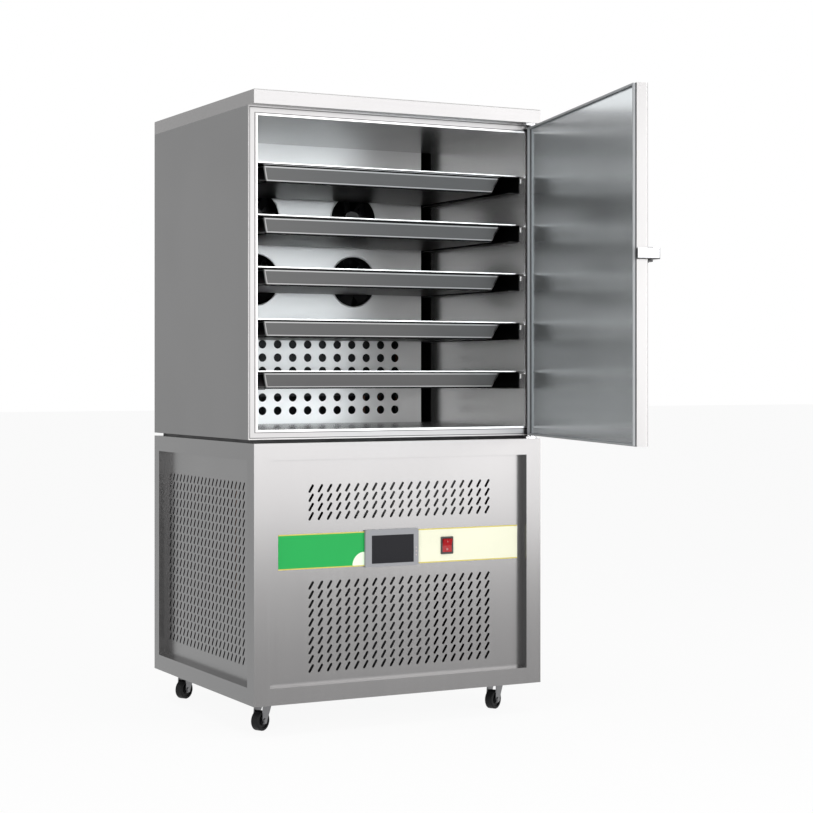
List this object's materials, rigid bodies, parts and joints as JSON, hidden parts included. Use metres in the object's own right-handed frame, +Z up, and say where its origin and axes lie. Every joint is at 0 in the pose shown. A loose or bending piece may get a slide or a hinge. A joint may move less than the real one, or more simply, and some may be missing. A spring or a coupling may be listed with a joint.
{
  "type": "commercial blast freezer",
  "caption": "Upright commercial blast freezer with an open tray chamber over a slotted machine compartment, on swivel casters.",
  "frame": {"origin": "centre of the base's underside, where the casters' plates are fixed", "axes": "+Z up, +X to the right and +Y to the back as seen from the front"},
  "size_m": [0.6603, 1.1723, 1.262],
  "materials": {
    "cabinet_steel": "brushed",
    "liner_steel": "satin, faint mirror",
    "frame_steel": "bright satin",
    "tray_steel": "satin",
    "runner_steel": "satin",
    "hinge_steel": "satin",
    "foam": "foam",
    "gasket": "matt",
    "black_plastic": "matt",
    "grey_plastic": "fine texture",
    "screen_glass": "gloss",
    "green_film": "satin film",
    "cream_film": "satin film",
    "red_plastic": "gloss",
    "fin_aluminium": "fins",
    "galvanised": "galvanised",
    "black_paint": "semi-gloss",
    "copper": "drawn tube",
    "caster_zinc": "zinc plated",
    "wheel_black": "matt",
    "drain_plastic": "matt"
  },
  "bodies": {
    "cabinet": {"base_frame": "cabinet_steel", "base_floor": "galvanised", "front_panel": "cabinet_steel", "left_panel": "cabinet_steel", "right_panel": "cabinet_steel", "rear_panel": "cabinet_steel", "panel_screws": "hinge_steel", "cable_gland": "black_plastic", "overlay_green": "green_film", "overlay_cream": "cream_film", "display_bezel": "grey_plastic", "display_screen": "screen_glass", "switch_bezel": "black_plastic", "compressor": "black_paint", "condenser_coil": "fin_aluminium", "condenser_shroud": "galvanised", "receiver": "black_paint", "control_box": "galvanised", "refrigerant_pipes": "copper", "drain": "drain_plastic", "spacer_frame": "black_plastic", "outer_skin": "cabinet_steel", "top_cap": "cabinet_steel", "insulation": "foam", "liner": "liner_steel", "front_frame": "frame_steel", "fan_panel": "liner_steel", "evaporator_coil": "fin_aluminium", "fan_frames": "black_plastic", "air_probe": "hinge_steel", "tray_runners": "runner_steel", "hinge_top": "hinge_steel", "hinge_bottom": "hinge_steel", "caster_plates": "caster_zinc"},
    "door": {"door_skin": "cabinet_steel", "door_inner_panel": "liner_steel", "door_foam": "foam", "door_gasket": "gasket", "door_hinge_bushes": "grey_plastic", "latch_base": "hinge_steel"},
    "latch": {"latch_lever": "hinge_steel"},
    "switch_rocker": {"rocker": "red_plastic"},
    "condenser_fan": {"condenser_rotor": "black_plastic"},
    "tray_1": {"tray_1": "tray_steel"},
    "tray_2": {"tray_2": "tray_steel"},
    "tray_3": {"tray_3": "tray_steel"},
    "tray_4": {"tray_4": "tray_steel"},
    "tray_5": {"tray_5": "tray_steel"},
    "fan_rotor_1": {"fan_rotor_1": "black_plastic"},
    "fan_rotor_2": {"fan_rotor_2": "black_plastic"},
    "fan_rotor_3": {"fan_rotor_3": "black_plastic"},
    "fan_rotor_4": {"fan_rotor_4": "black_plastic"},
    "caster_fork_1": {"caster_fork_1": "caster_zinc"},
    "caster_wheel_1": {"caster_wheel_1": "wheel_black"},
    "caster_fork_2": {"caster_fork_2": "caster_zinc"},
    "caster_wheel_2": {"caster_wheel_2": "wheel_black"},
    "caster_fork_3": {"caster_fork_3": "caster_zinc"},
    "caster_wheel_3": {"caster_wheel_3": "wheel_black"},
    "caster_fork_4": {"caster_fork_4": "caster_zinc"},
    "caster_wheel_4": {"caster_wheel_4": "wheel_black"}
  },
  "joints": [
    {"name": "door_hinge", "type": "hinge", "parent": "cabinet", "child": "door", "pos_m": [0.3165, -0.26, 0.518], "axis": [0, 0, 1], "range_deg": [-75.7, 29.3]},
    {"name": "latch_hinge", "type": "hinge", "parent": "door", "child": "latch", "pos_m": [0.19917, -0.85392, 0.861], "axis": [0, 0, 1], "range_deg": [0, 20], "stiffness_Nm_per_rad": 0.5, "springref_deg": -11.46},
    {"name": "rocker_tilt", "type": "hinge", "parent": "cabinet", "child": "switch_rocker", "pos_m": [0.11175, -0.2578, 0.29465], "axis": [1, 0, 0], "range_deg": [-16, 0]},
    {"name": "condenser_fan_spin", "type": "hinge", "parent": "cabinet", "child": "condenser_fan", "pos_m": [-0.0455, -0.15, 0.136], "axis": [0, 1, 0], "continuous": true},
    {"name": "tray_slide_1", "type": "slide", "parent": "cabinet", "child": "tray_1", "axis": [0, -1, 0], "range_m": [0, 0.05]},
    {"name": "tray_slide_2", "type": "slide", "parent": "cabinet", "child": "tray_2", "axis": [0, -1, 0], "range_m": [0, 0.05]},
    {"name": "tray_slide_3", "type": "slide", "parent": "cabinet", "child": "tray_3", "axis": [0, -1, 0], "range_m": [0, 0.05]},
    {"name": "tray_slide_4", "type": "slide", "parent": "cabinet", "child": "tray_4", "axis": [0, -1, 0], "range_m": [0, 0.05]},
    {"name": "tray_slide_5", "type": "slide", "parent": "cabinet", "child": "tray_5", "axis": [0, -1, 0], "range_m": [0, 0.05]},
    {"name": "fan_spin_1", "type": "hinge", "parent": "cabinet", "child": "fan_rotor_1", "pos_m": [-0.13265, 0.1838, 0.9925], "axis": [0, 1, 0], "continuous": true},
    {"name": "fan_spin_2", "type": "hinge", "parent": "cabinet", "child": "fan_rotor_2", "pos_m": [0.10635, 0.1838, 0.9925], "axis": [0, 1, 0], "continuous": true},
    {"name": "fan_spin_3", "type": "hinge", "parent": "cabinet", "child": "fan_rotor_3", "pos_m": [-0.13265, 0.1838, 0.8535], "axis": [0, 1, 0], "continuous": true},
    {"name": "fan_spin_4", "type": "hinge", "parent": "cabinet", "child": "fan_rotor_4", "pos_m": [0.10635, 0.1838, 0.8535], "axis": [0, 1, 0], "continuous": true},
    {"name": "caster_swivel_1", "type": "hinge", "parent": "cabinet", "child": "caster_fork_1", "pos_m": [-0.2675, -0.192, -0.008], "axis": [0, 0, 1], "continuous": true},
    {"name": "caster_roll_1", "type": "hinge", "parent": "caster_fork_1", "child": "caster_wheel_1", "pos_m": [-0.27796, -0.19789, -0.042], "axis": [-0.4909, 0.8712, 0], "continuous": true},
    {"name": "caster_swivel_2", "type": "hinge", "parent": "cabinet", "child": "caster_fork_2", "pos_m": [0.2675, -0.192, -0.008], "axis": [0, 0, 1], "continuous": true},
    {"name": "caster_roll_2", "type": "hinge", "parent": "caster_fork_2", "child": "caster_wheel_2", "pos_m": [0.25705, -0.19789, -0.042], "axis": [-0.4909, 0.8712, 0], "continuous": true},
    {"name": "caster_swivel_3", "type": "hinge", "parent": "cabinet", "child": "caster_fork_3", "pos_m": [-0.2675, 0.228, -0.008], "axis": [0, 0, 1], "continuous": true},
    {"name": "caster_roll_3", "type": "hinge", "parent": "caster_fork_3", "child": "caster_wheel_3", "pos_m": [-0.27796, 0.22211, -0.042], "axis": [-0.4909, 0.8712, 0], "continuous": true},
    {"name": "caster_swivel_4", "type": "hinge", "parent": "cabinet", "child": "caster_fork_4", "pos_m": [0.2675, 0.228, -0.008], "axis": [0, 0, 1], "continuous": true},
    {"name": "caster_roll_4", "type": "hinge", "parent": "caster_fork_4", "child": "caster_wheel_4", "pos_m": [0.25705, 0.22211, -0.042], "axis": [-0.4909, 0.8712, 0], "continuous": true}
  ]
}
